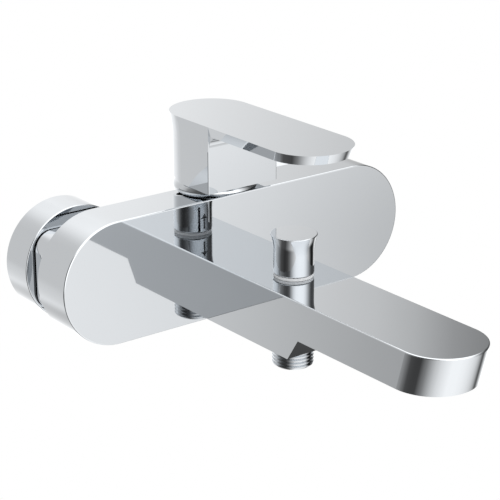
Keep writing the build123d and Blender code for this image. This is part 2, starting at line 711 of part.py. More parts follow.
with BuildPart() as handle:
    with BuildSketch(Plane(origin=(0, cartridge_y, handle_bottom_z))):
        with BuildLine():
            column_outline(0)
        make_face()
    flare_z = plate_bottom_z - 8.0
    extrude(amount=flare_z - handle_bottom_z)
    fillet(handle.edges().filter_by(Axis.Z).group_by(Axis.Y)[0], 0.5)
    # the back of the column flares out to the plate
    plate_shift = plate_back - half_width
    with BuildSketch(Plane(origin=(0, cartridge_y, flare_z))):
        with BuildLine():
            column_outline(0)
        make_face()
    with BuildSketch(Plane(origin=(0, cartridge_y, (flare_z + handle_top_z) / 2))):
        with BuildLine():
            column_outline(plate_shift * 0.28)
        make_face()
    with BuildSketch(Plane(origin=(0, cartridge_y, handle_top_z))):
        with BuildLine():
            column_outline(plate_shift)
        make_face()
    loft()
    # lever plate, a little smaller below than above
    with BuildSketch(Plane(origin=(0, cartridge_y, plate_bottom_z))):
        with BuildLine():
            low_width = half_width - plate_side_undercut
            low_tip = plate_tip_undercut - plate_tip
            low_front = half_width + low_tip
            Line((-low_width, 0), (-low_width, low_front))
            ThreePointArc((-low_width, low_front), (0, low_tip), (low_width, low_front))
            Line((low_width, low_front), (low_width, 0))
            Line((low_width, 0), (-low_width, 0))
        make_face()
    with BuildSketch(Plane(origin=(0, cartridge_y, handle_top_z))):
        with BuildLine():
            top_front = half_width - plate_tip
            Line((-half_width, 0), (-half_width, top_front))
            ThreePointArc((-half_width, top_front), (0, -plate_tip), (half_width, top_front))
            Line((half_width, top_front), (half_width, 0))
            Line((half_width, 0), (-half_width, 0))
        make_face()
    loft()
    # rounded corner between the column and the plate
    with BuildSketch(Plane.YZ.offset(-half_width + plate_side_undercut)):
        with BuildLine():
            front_y = cartridge_y - handle_front
            corner_low_z = plate_bottom_z - neck_fillet
            corner_front_y = front_y - neck_fillet
            # the wedge reaches a little into the column and the plate, so that it joins them
            into_column_y = front_y + 1.0
            into_plate_z = plate_bottom_z + 1.0
            Line((into_column_y, into_plate_z), (into_column_y, corner_low_z))
            Line((into_column_y, corner_low_z), (front_y, corner_low_z))
            RadiusArc((front_y, corner_low_z), (corner_front_y, plate_bottom_z), -neck_fillet)
            Line((corner_front_y, plate_bottom_z), (corner_front_y, into_plate_z))
            Line((corner_front_y, into_plate_z), (into_column_y, into_plate_z))
        make_face()
    extrude(amount=2 * (half_width - plate_side_undercut))
    # hollow that passes over the dome
    with BuildSketch(Plane(origin=(0, cartridge_y, handle_bottom_z))):
        Circle(cavity_radius)
    extrude(amount=cavity_top_z - handle_bottom_z, mode=Mode.SUBTRACT)
    # socket for the square stem
    with BuildSketch(Plane(origin=(0, cartridge_y, socket_bottom_z))):
        Circle(socket_radius)
        Rectangle(stem_width + 2 * touch_gap, stem_width + 2 * touch_gap, mode=Mode.SUBTRACT)
    extrude(amount=cavity_top_z - socket_bottom_z + 1.0)
    # the bottom rises towards the back, so that the back clears the cap when the lever lifts
    with BuildSketch(Plane.YZ.offset(-handle_width)):
        with BuildLine():
            relief_low_z = pivot_z + relief_start - handle_width * tan(radians(lift_limit))
            relief_high_z = pivot_z + relief_start + handle_width * tan(radians(lift_limit))
            Polyline((cartridge_y - handle_width, relief_low_z),
                     (cartridge_y + handle_width, relief_high_z),
                     (cartridge_y + handle_width, relief_low_z), close=True)
        make_face()
    extrude(amount=2 * handle_width, mode=Mode.SUBTRACT)
    # set screw hole from the back, widened in the wall for its plug
    with BuildSketch(Plane.XZ.offset(cartridge_reach)):
        with Locations((0, set_screw_z)):
            Circle(set_screw_radius + touch_gap)
    extrude(amount=-handle_width, mode=Mode.SUBTRACT)
    with BuildSketch(Plane.XZ.offset(cartridge_reach - cavity_radius + 1.0)):
        with Locations((0, set_screw_z)):
            Circle(plug_radius + touch_gap)
    extrude(amount=-handle_width, mode=Mode.SUBTRACT)
save(handle, "lever_handle")

screw_tip_y = cartridge_y + stem_width / 2
with BuildPart() as set_screw:
    with BuildSketch(Plane.XZ.offset(-screw_tip_y)):
        with Locations((0, set_screw_z)):
            Circle(set_screw_radius)
    extrude(amount=-(socket_radius - stem_width / 2 + 1.0))
    chamfer(set_screw.edges().filter_by(GeomType.CIRCLE), 0.4)
    with BuildSketch(Plane.XZ.offset(-screw_tip_y - socket_radius + stem_width / 2 - 1.0)):
        with Locations((0, set_screw_z)):
            RegularPolygon(1.45, 6)
    extrude(amount=2.5, mode=Mode.SUBTRACT)
save(set_screw, "handle_set_screw")

plug_front_y = cartridge_y + cavity_radius - 0.8
with BuildPart() as set_screw_plug:
    with BuildSketch(Plane.XZ.offset(-plug_front_y)):
        with Locations((0, set_screw_z)):
            Circle(plug_radius)
    extrude(amount=-(half_width - cavity_radius + 0.8))
    fillet(set_screw_plug.edges().group_by(Axis.Y)[-1], 0.4)
save(set_screw_plug, "set_screw_plug")

# ================================================================ spout
half_spout = spout_width / 2
spout_bottom_z = -spout_thickness
step_bottom_y = -front_reach - root_step_bottom
step_top_y = -front_reach - root_step_top
bush_bore = guide_radius + touch_gap
upper_chamber_bottom_z = upper_seat_z + 2.0
cavity_start_y = diverter_y - bush_bore - 4.0
cavity_half_width = half_spout - spout_wall - 1.0
aerator_y = -aerator_reach
thread_boss_radius = aerator_radius + 2.5


def spout_outline(tip_y):
    """Plan of the spout: square at the body, round at the tip."""
    Line((-half_spout, -front_reach), (-half_spout, tip_y + half_spout))
    ThreePointArc((-half_spout, tip_y + half_spout), (0, tip_y), (half_spout, tip_y + half_spout))
    Line((half_spout, tip_y + half_spout), (half_spout, -front_reach))
    Line((half_spout, -front_reach), (-half_spout, -front_reach))


with BuildPart() as spout:
    with BuildSketch(Plane.XY.offset(spout_bottom_z)):
        with BuildLine():
            spout_outline(-spout_tip_reach + tip_undercut)
        make_face()
    with BuildSketch(Plane.XY):
        with BuildLine():
            spout_outline(-spout_tip_reach)
        make_face()
    loft()
    # thick root that holds the diverter
    with BuildSketch(Plane.YZ.offset(-half_spout)):
        with BuildLine():
            Polyline((-front_reach, spout_bottom_z + 2.0), (-front_reach, -spout_root_depth),
                     (step_bottom_y, -spout_root_depth), (step_top_y, spout_bottom_z),
                     (step_top_y, spout_bottom_z + 2.0), close=True)
        make_face()
    extrude(amount=spout_width)
    top_edges = spout.edges().group_by(Axis.Z)[-1]
    fillet(top_edges.filter_by_position(Axis.Y, -spout_tip_reach, -front_reach - 1.0), spout_edge_round)
    # water space in the thin part
    with BuildSketch(Plane.XY.offset(spout_bottom_z + spout_wall)):
        with BuildLine():
            Line((-cavity_half_width, cavity_start_y), (-cavity_half_width, aerator_y))
            ThreePointArc((-cavity_half_width, aerator_y), (0, aerator_y - cavity_half_width),
                          (cavity_half_width, aerator_y))
            Line((cavity_half_width, aerator_y), (cavity_half_width, cavity_start_y))
            Line((cavity_half_width, cavity_start_y), (-cavity_half_width, cavity_start_y))
        make_face()
    extrude(amount=spout_thickness - 2 * spout_wall, mode=Mode.SUBTRACT)
    # boss and bore for the aerator
    with BuildSketch(Plane.XY.offset(spout_bottom_z)):
        with Locations((0, aerator_y)):
            Circle(thread_boss_radius)
    extrude(amount=aerator_height + 1.6)
    with BuildSketch(Plane.XY.offset(spout_bottom_z)):
        with Locations((0, aerator_y)):
            Circle(aerator_radius + touch_gap)
    extrude(amount=aerator_height + 1.6, mode=Mode.SUBTRACT)
    # diverter: lower chamber, seat, upper chamber, way forward into the water space
    with BuildSketch(Plane.XY.offset(-spout_root_depth)):
        with Locations((0, diverter_y)):
            Circle(bush_bore)
    extrude(amount=spout_root_depth + lower_seat_z, mode=Mode.SUBTRACT)
    with BuildSketch(Plane.XY.offset(lower_seat_z)):
        with Locations((0, diverter_y)):
            Circle(chamber_radius)
    extrude(amount=upper_seat_z - lower_seat_z, mode=Mode.SUBTRACT)
    with BuildSketch(Plane.XY.offset(upper_seat_z)):
        with Locations((0, diverter_y)):
            Circle(seat_hole_radius)
    extrude(amount=upper_chamber_bottom_z - upper_seat_z, mode=Mode.SUBTRACT)
    with BuildSketch(Plane.XY.offset(upper_chamber_bottom_z)):
        with Locations((0, diverter_y)):
            Circle(bush_bore)
    extrude(amount=-upper_chamber_bottom_z, mode=Mode.SUBTRACT)
    with BuildSketch(Plane.XY.offset(upper_chamber_bottom_z)):
        with Locations((0, diverter_y)):
            Rectangle(2 * seat_hole_radius, diverter_y - cavity_start_y + 2.0,
                      align=(Align.CENTER, Align.MAX))
    extrude(amount=-guide_depth - upper_chamber_bottom_z, mode=Mode.SUBTRACT)
    # socket of the nipple, its water way, and the threaded holes of the spout screws
    with BuildSketch(Plane.XZ.offset(front_reach)):
        with Locations((0, nipple_z)):
            Circle(nipple_radius + touch_gap)
    extrude(amount=nipple_length / 2, mode=Mode.SUBTRACT)
    with BuildSketch(Plane.XZ.offset(front_reach)):
        with Locations((0, nipple_z)):
            Circle(nipple_bore)
    extrude(amount=diverter_reach - front_reach, mode=Mode.SUBTRACT)
    with BuildSketch(Plane.XZ.offset(front_reach)):
        with Locations((-spout_screw_x, spout_screw_z), (spout_screw_x, spout_screw_z)):
            Circle(spout_screw_radius + touch_gap)
    extrude(amount=spout_screw_grip, mode=Mode.SUBTRACT)
save(spout, "spout")

# ---------------------------------------------------------------- nipple between body and spout
groove_places = [-nipple_length / 4, nipple_length / 4]
with BuildPart() as spout_nipple:
    with BuildSketch(Plane.XZ.offset(front_reach - nipple_length / 2 + touch_gap)):
        with Locations((0, nipple_z)):
            Circle(nipple_radius)
            Circle(nipple_bore, mode=Mode.SUBTRACT)
    extrude(amount=nipple_length - 2 * touch_gap)
    for place in groove_places:
        with BuildSketch(Plane.XZ.offset(front_reach + place - 0.9)):
            with Locations((0, nipple_z)):
                Circle(nipple_radius)
                Circle(nipple_radius - 1.4, mode=Mode.SUBTRACT)
        extrude(amount=1.8, mode=Mode.SUBTRACT)
save(spout_nipple, "spout_nipple")

with BuildPart() as nipple_seals:
    for place in groove_places:
        add(o_ring((0, -front_reach - place, nipple_z), (0, 1, 0), nipple_radius - 0.65, 0.7).part)
save(nipple_seals, "nipple_seals")

# ================================================================ diverter
collar_top_z = knob_lift_gap - loose_gap
with BuildPart() as guide_bush:
    # the collar of the bush lies on the spout and fills the gap under the knob
    add(turned([(rod_radius + running_gap, -guide_depth), (guide_radius, -guide_depth),
                (guide_radius, touch_gap), (guide_collar_radius, touch_gap),
                (guide_collar_radius, collar_top_z), (rod_radius + running_gap, collar_top_z)],
               diverter_y).part)
    # groove of the rod seal and two key holes
    with BuildSketch(Plane(origin=(0, diverter_y, -guide_depth / 2 - 0.9))):
        Circle(rod_radius + 1.7)
    extrude(amount=1.8, mode=Mode.SUBTRACT)
    with BuildSketch(Plane(origin=(0, diverter_y, touch_gap))):
        with Locations((-guide_key_x, 0), (guide_key_x, 0)):
            Circle(guide_key_radius)
    extrude(amount=collar_top_z - touch_gap, mode=Mode.SUBTRACT)
save(guide_bush, "diverter_guide")
rod_seal = o_ring((0, diverter_y, -guide_depth / 2), (0, 0, 1), rod_radius + running_gap + 0.8, 0.75)
save(rod_seal, "rod_seal")

with BuildPart() as diverter_knob:
    flare_start_z = knob_lift_gap + knob_height * 0.55
    knob_top_z = knob_lift_gap + knob_height
    with BuildSketch(Plane.XZ.offset(diverter_reach)):
        with BuildLine():
            Line((0, knob_lift_gap), (knob_radius - edge_chamfer, knob_lift_gap))
            Line((knob_radius - edge_chamfer, knob_lift_gap), (knob_radius, knob_lift_gap + edge_chamfer))
            Line((knob_radius, knob_lift_gap + edge_chamfer), (knob_radius, flare_start_z))
            TangentArc((knob_radius, flare_start_z), (knob_flare_radius, knob_top_z - edge_chamfer),
                       tangent=(0, 1))
            Line((knob_flare_radius, knob_top_z - edge_chamfer),
                 (knob_flare_radius - edge_chamfer, knob_top_z))
            Line((knob_flare_radius - edge_chamfer, knob_top_z), (0, knob_top_z))
            Line((0, knob_top_z), (0, knob_lift_gap))
        make_face()
    revolve(axis=Axis((0, diverter_y, 0), (0, 0, 1)))
    with BuildSketch(Plane(origin=(0, diverter_y, knob_lift_gap))):
        Circle(rod_radius + touch_gap)
    extrude(amount=knob_height * 0.6, mode=Mode.SUBTRACT)
    # plain arrow engraved on the side that faces the body: pull up
    arrow_z = knob_lift_gap + knob_height * 0.42
    with BuildSketch(Plane.XZ.offset(diverter_reach - knob_radius + 0.35)):
        with Locations((0, arrow_z)):
            Rectangle(1.0, 6.0)
        with BuildLine():
            Polyline((-2.2, arrow_z + 2.4), (2.2, arrow_z + 2.4), (0, arrow_z + 5.2), close=True)
        make_face()
    extrude(amount=-2.0, mode=Mode.SUBTRACT)
save(diverter_knob, "diverter_knob")

rod_top_z = knob_lift_gap + knob_height * 0.6 - touch_gap
rod_bottom_z = lower_seat_z - 0.8
valve_body_z = lower_seat_z + seal_thickness
upper_seal_z = valve_body_z + valve_body_height
valve_top_z = upper_seal_z + seal_thickness
with BuildPart() as diverter_rod:
    add(turned([(0, rod_bottom_z), (rod_radius - edge_chamfer, rod_bottom_z),
                (rod_radius, rod_bottom_z + edge_chamfer), (rod_radius, rod_top_z - edge_chamfer),
                (rod_radius - edge_chamfer, rod_top_z), (0, rod_top_z)], diverter_y).part)
save(diverter_rod, "diverter_rod")

piston_radius = valve_radius - 0.8
save(turned([(rod_radius, valve_body_z), (piston_radius, valve_body_z),
             (piston_radius, upper_seal_z), (rod_radius, upper_seal_z)], diverter_y), "diverter_piston")
for seal_name, seal_z in (("lower_valve_seal", lower_seat_z), ("upper_valve_seal", upper_seal_z)):
    seal_top_z = seal_z + seal_thickness
    seal = turned([(rod_radius, seal_z), (valve_radius - edge_chamfer, seal_z),
                   (valve_radius, seal_z + edge_chamfer), (valve_radius, seal_top_z - edge_chamfer),
                   (valve_radius - edge_chamfer, seal_top_z), (rod_radius, seal_top_z)], diverter_y)
    save(seal, seal_name)


def coil_spring(low_z, high_z, turns, mean_radius, wire_radius):
    """Round wire wound about the diverter axis between two heights, its ends inside them."""
    start_z = low_z + wire_radius + touch_gap
    height = high_z - low_z - 2 * (wire_radius + touch_gap)
    with BuildPart() as spring:
        with BuildLine(Plane(origin=(0, diverter_y, start_z))) as wire:
            Helix(pitch=height / turns, height=height, radius=mean_radius)
        with BuildSketch(Plane(origin=wire.line @ 0, z_dir=wire.line % 0)):
            Circle(wire_radius)
        sweep(is_frenet=True)
    return spring


save(coil_spring(valve_top_z, -guide_depth, 5, 4.4, 0.4), "diverter_spring")

# ---------------------------------------------------------------- shower outlet and its check valve
outlet_turns = 6
thread_start_z = outlet_bottom_z + 0.6
nipple_top_z = lower_seat_z - touch_gap
check_top_z = lower_seat_z - 3.0
with BuildPart() as shower_outlet:
    outlet_thread = pipe_thread(thread_start_z, outlet_turns, 1)
    add(turned([(outlet_bore, outlet_bottom_z), (half_inch_root - 0.3, outlet_bottom_z)] + outlet_thread
               + [(half_inch_root, -spout_root_depth - 0.1), (half_inch_root, -spout_root_depth),
                  (guide_radius, -spout_root_depth), (guide_radius, nipple_top_z),
                  (seat_hole_radius - 0.5, nipple_top_z), (seat_hole_radius - 0.5, check_top_z),
                  (outlet_bore, check_top_z)], diverter_y).part)
save(shower_outlet, "shower_outlet")

check_body_radius = outlet_bore - touch_gap
check_body_bore = check_body_radius - 1.3
check_bottom_z = outlet_bottom_z + 4.0
check_seat_z = check_top_z - 1.6
guide_floor_z = check_bottom_z + 1.5
poppet_radius = 5.0
with BuildPart() as check_valve_body:
    add(turned([(check_body_bore, check_bottom_z), (check_body_radius, check_bottom_z),
                (check_body_radius, check_top_z - touch_gap),
                (poppet_radius - 1.0, check_top_z - touch_gap),
                (poppet_radius - 1.0, check_seat_z), (check_body_bore, check_seat_z)], diverter_y).part)
    # three legs carry the ring that guides the poppet
    with BuildSketch(Plane(origin=(0, diverter_y, check_bottom_z))):
        with PolarLocations(check_body_radius / 2, 3):
            Rectangle(check_body_radius - 0.6, 1.6)
        Circle(2.6)
        Circle(1.5, mode=Mode.SUBTRACT)
    extrude(amount=guide_floor_z - check_bottom_z)
save(check_valve_body, "check_valve_body")

save(turned([(0, check_bottom_z + 0.2), (1.4, check_bottom_z + 0.2), (1.4, check_seat_z - 2.4),
             (poppet_radius, check_seat_z - 1.4), (poppet_radius, check_seat_z - touch_gap),
             (0, check_seat_z - touch_gap)], diverter_y), "check_valve_poppet")
save(coil_spring(guide_floor_z, check_seat_z - 2.4, 5, 2.3, 0.25), "check_valve_spring")

# ================================================================ aerator
rim_z = spout_bottom_z - aerator_lip
rim_radius = aerator_radius - 0.3
insert_radius = aerator_radius - 2.2
with BuildPart() as aerator_housing:
    add(turned([(insert_radius - 0.6, rim_z), (rim_radius - edge_chamfer, rim_z),
                (rim_radius, rim_z + edge_chamfer), (rim_radius, spout_bottom_z),
                (aerator_radius, spout_bottom_z), (aerator_radius, spout_bottom_z + aerator_height),
                (insert_radius, spout_bottom_z + aerator_height), (insert_radius, rim_z + 1.6),
                (insert_radius - 0.6, rim_z + 1.6)], aerator_y).part)
    with BuildSketch(Plane(origin=(0, aerator_y, rim_z))):
        with PolarLocations(aerator_radius - 1.0, 4):
            Rectangle(2.4, 2.4)
    extrude(amount=aerator_lip * 0.8, mode=Mode.SUBTRACT)
save(aerator_housing, "aerator_housing")

with BuildPart() as aerator_insert:
    with BuildSketch(Plane(origin=(0, aerator_y, rim_z + 1.7))):
        Circle(insert_radius - touch_gap)
        with HexLocations(1.15, 7, 7):
            RegularPolygon(0.9, 6, mode=Mode.SUBTRACT)
    extrude(amount=5.0)
save(aerator_insert, "aerator_insert")

with BuildPart() as aerator_screen:
    with BuildSketch(Plane(origin=(0, aerator_y, rim_z + 6.8))):
        Circle(insert_radius - touch_gap)
        with GridLocations(2.2, 2.2, 6, 6):
            Rectangle(1.5, 1.5, mode=Mode.SUBTRACT)
    extrude(amount=0.6)
save(aerator_screen, "aerator_screen")

gasket_z = spout_bottom_z + aerator_height
gasket_top_z = gasket_z + 1.4
save(turned([(insert_radius - 1.0, gasket_z), (aerator_radius, gasket_z), (aerator_radius, gasket_top_z),
             (insert_radius - 1.0, gasket_top_z)], aerator_y), "aerator_gasket")
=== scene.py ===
"""Looks of the wall mounted bath faucet: knob, rosettes, finishes and a small photo studio.

Metres, +Z up.  The wall is the plane y = 0, the faucet stands out towards -Y, and +X is to the
right of somebody who faces the wall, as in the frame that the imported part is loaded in.
"""

import math

import bmesh
import bpy
from bpy.props import FloatProperty, FloatVectorProperty, PointerProperty
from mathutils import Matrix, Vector


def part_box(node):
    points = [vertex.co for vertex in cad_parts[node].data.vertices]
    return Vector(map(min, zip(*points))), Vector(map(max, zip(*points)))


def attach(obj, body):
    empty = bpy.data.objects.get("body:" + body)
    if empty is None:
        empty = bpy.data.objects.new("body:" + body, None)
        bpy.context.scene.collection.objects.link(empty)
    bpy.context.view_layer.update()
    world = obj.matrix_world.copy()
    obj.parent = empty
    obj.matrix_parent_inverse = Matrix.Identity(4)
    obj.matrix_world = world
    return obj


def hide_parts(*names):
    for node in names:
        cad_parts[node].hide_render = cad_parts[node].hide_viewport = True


bl_info = {
    "name": "Bath Faucet Looks",
    "version": (1, 0, 0),
    "blender": (4, 5, 0),
    "location": "View3D > Sidebar > Faucet",
    "description": "Knob, rosettes, finishes and studio for the wall mounted bath faucet",
    "category": "Object",
}

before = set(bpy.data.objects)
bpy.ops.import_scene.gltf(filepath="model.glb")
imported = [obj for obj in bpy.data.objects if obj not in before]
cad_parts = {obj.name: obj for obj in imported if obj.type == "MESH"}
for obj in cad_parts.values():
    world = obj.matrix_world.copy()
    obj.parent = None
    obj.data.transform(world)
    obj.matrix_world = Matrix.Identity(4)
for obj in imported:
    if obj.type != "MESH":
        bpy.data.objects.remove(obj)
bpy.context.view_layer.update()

X = Vector((1, 0, 0))
Y = Vector((0, 1, 0))
Z = Vector((0, 0, 1))

FIXED_BODY = "faucet_body"
DIVERTER_BODY = "diverter"

MERGE_DISTANCE = 1e-7        # points closer than this are one point
SHARP_ANGLE = math.radians(34)

KNOB_EDGE = 0.0004           # round of the knob's two rims
KNOB_STRAIGHT_SHARE = 0.55   # of the knob's height, below the flare
EDGE_STEPS = 4
FLARE_STEPS = 14
KNOB_STEPS = 96

ARROW_FOOT_SHARE = 0.08      # of the knob's height, below the arrow
ARROW_PROUD = 0.00003        # how far the enamel stands out of the knob
SHAFT_WIDTH = 0.0010
SHAFT_HEIGHT = 0.0058
HEAD_WIDTH = 0.0044
HEAD_HEIGHT = 0.0028
HEAD_MIDDLE = 0.0072         # from the arrow's foot to the middle of its head

ROSETTE_EDGE = 0.0006
ROSETTE_FACE = 0.0015        # thickness of the rosette's front
ROSETTE_NUT_GAP = 0.0006     # between the rosette and the union nut in its hole
ROSETTE_STEPS = 128

# heights of a direction, as the sine of its angle, between which one wall of the tent fades
# into the next
FOOT_TO_LOWER = (-0.62, -0.50)
LOWER_TO_UPPER = (-0.34, -0.20)
UPPER_TO_ROOF = (0.50, 0.80)


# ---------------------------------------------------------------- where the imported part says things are
knob_low, knob_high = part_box("diverter_knob")


# ---------------------------------------------------------------- sizes and colours that a user would change
class FaucetSizes(bpy.types.PropertyGroup):
    """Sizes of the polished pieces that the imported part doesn't give directly."""

    knob_radius: FloatProperty(
        name="Knob radius",
        description="Radius of the straight lower part of the knob",
        default=0.01025,
        unit="LENGTH",
    )
    rosette_wall: FloatProperty(
        name="Rosette wall",
        description="Thickness of the round wall covers",
        default=0.0012,
        unit="LENGTH",
    )


class FaucetFinishes(bpy.types.PropertyGroup):
    """Colours and roughness of the finishes."""

    chrome_colour: FloatVectorProperty(
        name="Chrome",
        description="Colour of the polished chrome",
        subtype="COLOR",
        size=3,
        default=(0.605, 0.625, 0.645),
    )
    chrome_roughness: FloatProperty(
        name="Chrome roughness",
        description="Roughness of the polished chrome",
        default=0.03,
        subtype="FACTOR",
        min=0.0,
        max=1.0,
    )
    nickel_colour: FloatVectorProperty(
        name="Nickel",
        description="Colour of the nickel plate on the unions",
        subtype="COLOR",
        size=3,
        default=(0.66, 0.62, 0.55),
    )
    brass_colour: FloatVectorProperty(
        name="Brass",
        description="Colour of the cast brass",
        subtype="COLOR",
        size=3,
        default=(0.70, 0.52, 0.24),
    )
    steel_colour: FloatVectorProperty(
        name="Steel",
        description="Colour of the stainless steel",
        subtype="COLOR",
        size=3,
        default=(0.60, 0.60, 0.60),
    )
    rubber_colour: FloatVectorProperty(
        name="Rubber",
        description="Colour of the seals",
        subtype="COLOR",
        size=3,
        default=(0.018, 0.018, 0.02),
    )
    ceramic_colour: FloatVectorProperty(
        name="Ceramic",
        description="Colour of the ceramic discs",
        subtype="COLOR",
        size=3,
        default=(0.80, 0.79, 0.76),
    )
    plastic_colour: FloatVectorProperty(
        name="Plastic",
        description="Colour of the moulded inner parts",
        subtype="COLOR",
        size=3,
        default=(0.66, 0.67, 0.68),
    )


class FaucetStudio(bpy.types.PropertyGroup):
    """Camera, floor and light."""

    camera_place: FloatVectorProperty(
        name="Camera place",
        description="Where the camera stands",
        subtype="TRANSLATION",
        unit="LENGTH",
        size=3,
        default=(-0.50719, -0.72077, 0.30146),
    )
    camera_target: FloatVectorProperty(
        name="Camera target",
        description="Point that the camera looks at",
        subtype="TRANSLATION",
        unit="LENGTH",
        size=3,
        default=(-0.043336, -0.1175, 0.02593),
    )
    camera_lens: FloatProperty(
        name="Lens",
        description="Focal length of the camera in millimetres",
        default=124.32,
    )
    camera_shift: FloatVectorProperty(
        name="Camera shift",
        description="Lens shift that frames the faucet",
        size=2,
        default=(0.0083, 0.0064),
    )
    floor_drop: FloatProperty(
        name="Floor drop",
        description="From the inlet axes down to the floor",
        default=0.55,
        unit="LENGTH",
    )
    floor_size: FloatProperty(
        name="Floor size",
        description="Side of the square floor",
        default=24.0,
        unit="LENGTH",
    )
    floor_colour: FloatVectorProperty(
        name="Floor",
        description="Colour of the pale floor",
        subtype="COLOR",
        size=3,
        default=(0.95, 0.95, 0.95),
    )
    roof_level: FloatProperty(
        name="Roof level",
        description="Brightness of the tent's roof beside its walls",
        default=1.4,
        min=0.0,
    )
    studio_level: FloatProperty(
        name="Studio level",
        description="Brightness of the light tent, which makes up for what the chrome swallows",
        default=1.4,
        min=0.0,
    )


# ---------------------------------------------------------------- node groups that several finishes share
def group_socket(group, name, kind, way, default=None):
    """New socket of a node group."""
    socket = group.interface.new_socket(name=name, in_out=way, socket_type=kind)
    if default is not None:
        socket.default_value = default
    return socket


def fine_wear_group():
    """Fine uneven gloss and faint ripple of a finished metal, ceramic or plastic surface."""
    name = "FineWear"
    if name in bpy.data.node_groups:
        return bpy.data.node_groups[name]
    group = bpy.data.node_groups.new(name, "ShaderNodeTree")
    group_socket(group, "Roughness", "NodeSocketFloat", "INPUT", 0.2)
    group_socket(group, "Spread", "NodeSocketFloat", "INPUT", 0.05)
    group_socket(group, "Grain Scale", "NodeSocketFloat", "INPUT", 400.0)
    group_socket(group, "Roughness", "NodeSocketFloat", "OUTPUT")
    group_socket(group, "Height", "NodeSocketFloat", "OUTPUT")
    group_socket(group, "Mask", "NodeSocketFloat", "OUTPUT")
    nodes, links = group.nodes, group.links
    inputs = nodes.new("NodeGroupInput")
    outputs = nodes.new("NodeGroupOutput")
    place = nodes.new("ShaderNodeTexCoord")
    broad = nodes.new("ShaderNodeTexNoise")
    broad.inputs["Scale"].default_value = 35.0
    broad.inputs["Detail"].default_value = 3.0
    fine = nodes.new("ShaderNodeTexNoise")
    fine.inputs["Detail"].default_value = 4.0
    links.new(place.outputs["Object"], broad.inputs["Vector"])
    links.new(place.outputs["Object"], fine.inputs["Vector"])
    links.new(inputs.outputs["Grain Scale"], fine.inputs["Scale"])
    blend = nodes.new("ShaderNodeMath")
    blend.operation = "MULTIPLY"
    links.new(broad.outputs["Fac"], blend.inputs[0])
    links.new(fine.outputs["Fac"], blend.inputs[1])
    spread = nodes.new("ShaderNodeMath")
    spread.operation = "MULTIPLY_ADD"
    links.new(blend.outputs[0], spread.inputs[0])
    links.new(inputs.outputs["Spread"], spread.inputs[1])
    links.new(inputs.outputs["Roughness"], spread.inputs[2])
    links.new(spread.outputs[0], outputs.inputs["Roughness"])
    links.new(fine.outputs["Fac"], outputs.inputs["Height"])
    links.new(broad.outputs["Fac"], outputs.inputs["Mask"])
    return group


def finish_material(name, colour, dark_share, roughness, spread, grain, bump, metallic):
    """Material whose colour, gloss and surface vary a little over the piece."""
    material = bpy.data.materials.new(name)
    material.use_nodes = True
    nodes, links = material.node_tree.nodes, material.node_tree.links
    shader = nodes["Principled BSDF"]
    shader.inputs["Metallic"].default_value = metallic
    wear = nodes.new("ShaderNodeGroup")
    wear.node_tree = fine_wear_group()
    wear.inputs["Roughness"].default_value = roughness
    wear.inputs["Spread"].default_value = spread
    wear.inputs["Grain Scale"].default_value = grain
    tint = nodes.new("ShaderNodeMix")
    tint.data_type = "RGBA"
    tint.inputs["A"].default_value = (*(c * (1 - dark_share) for c in colour), 1)
    tint.inputs["B"].default_value = (*colour, 1)
    links.new(wear.outputs["Mask"], tint.inputs["Factor"])
    links.new(tint.outputs["Result"], shader.inputs["Base Color"])
    links.new(wear.outputs["Roughness"], shader.inputs["Roughness"])
    if bump:
        ripple = nodes.new("ShaderNodeBump")
        ripple.inputs["Strength"].default_value = bump
        ripple.inputs["Distance"].default_value = 0.0002
        links.new(wear.outputs["Height"], ripple.inputs["Height"])
        links.new(ripple.outputs["Normal"], shader.inputs["Normal"])
    return material


def polished_chrome(finishes):
    """Mirror chrome with a trace of polishing haze."""
    return finish_material("PolishedChrome", finishes.chrome_colour,
                           dark_share=0.02, roughness=finishes.chrome_roughness, spread=0.02,
                           grain=300.0, bump=0.0, metallic=1.0)


def nickel_plate(finishes):
    """Matt nickel plate of the wall unions."""
    return finish_material("NickelPlate", finishes.nickel_colour,
                           dark_share=0.12, roughness=0.22, spread=0.12,
                           grain=500.0, bump=0.12, metallic=1.0)


def cast_brass(finishes):
    """Sand cast and machined brass."""
    return finish_material("CastBrass", finishes.brass_colour,
                           dark_share=0.25, roughness=0.32, spread=0.2,
                           grain=900.0, bump=0.35, metallic=1.0)


def stainless_steel(finishes):
    """Turned stainless steel."""
    return finish_material("StainlessSteel", finishes.steel_colour,
                           dark_share=0.1, roughness=0.2, spread=0.12,
                           grain=1200.0, bump=0.1, metallic=1.0)


def black_rubber(finishes):
    """Moulded black rubber."""
    return finish_material("BlackRubber", finishes.rubber_colour,
                           dark_share=0.3, roughness=0.55, spread=0.25,
                           grain=1500.0, bump=0.3, metallic=0.0)


def white_ceramic(finishes):
    """Lapped ceramic."""
    return finish_material("WhiteCeramic", finishes.ceramic_colour,
                           dark_share=0.06, roughness=0.12, spread=0.08,
                           grain=800.0, bump=0.03, metallic=0.0)


def moulded_plastic(finishes):
    """Injection moulded grey plastic."""
    return finish_material("MouldedPlastic", finishes.plastic_colour,
                           dark_share=0.12, roughness=0.4, spread=0.15,
                           grain=1400.0, bump=0.15, metallic=0.0)


def arrow_enamel():
    """Dark grey enamel of the arrow on the knob."""
    return finish_material("ArrowEnamel", (0.05, 0.055, 0.06),
                           dark_share=0.3, roughness=0.35, spread=0.1,
                           grain=600.0, bump=0.1, metallic=0.0)


FINISHES = {
    "polished_chrome": polished_chrome,
    "nickel_plate": nickel_plate,
    "cast_brass": cast_brass,
    "stainless_steel": stainless_steel,
    "black_rubber": black_rubber,
    "white_ceramic": white_ceramic,
    "moulded_plastic": moulded_plastic,
}


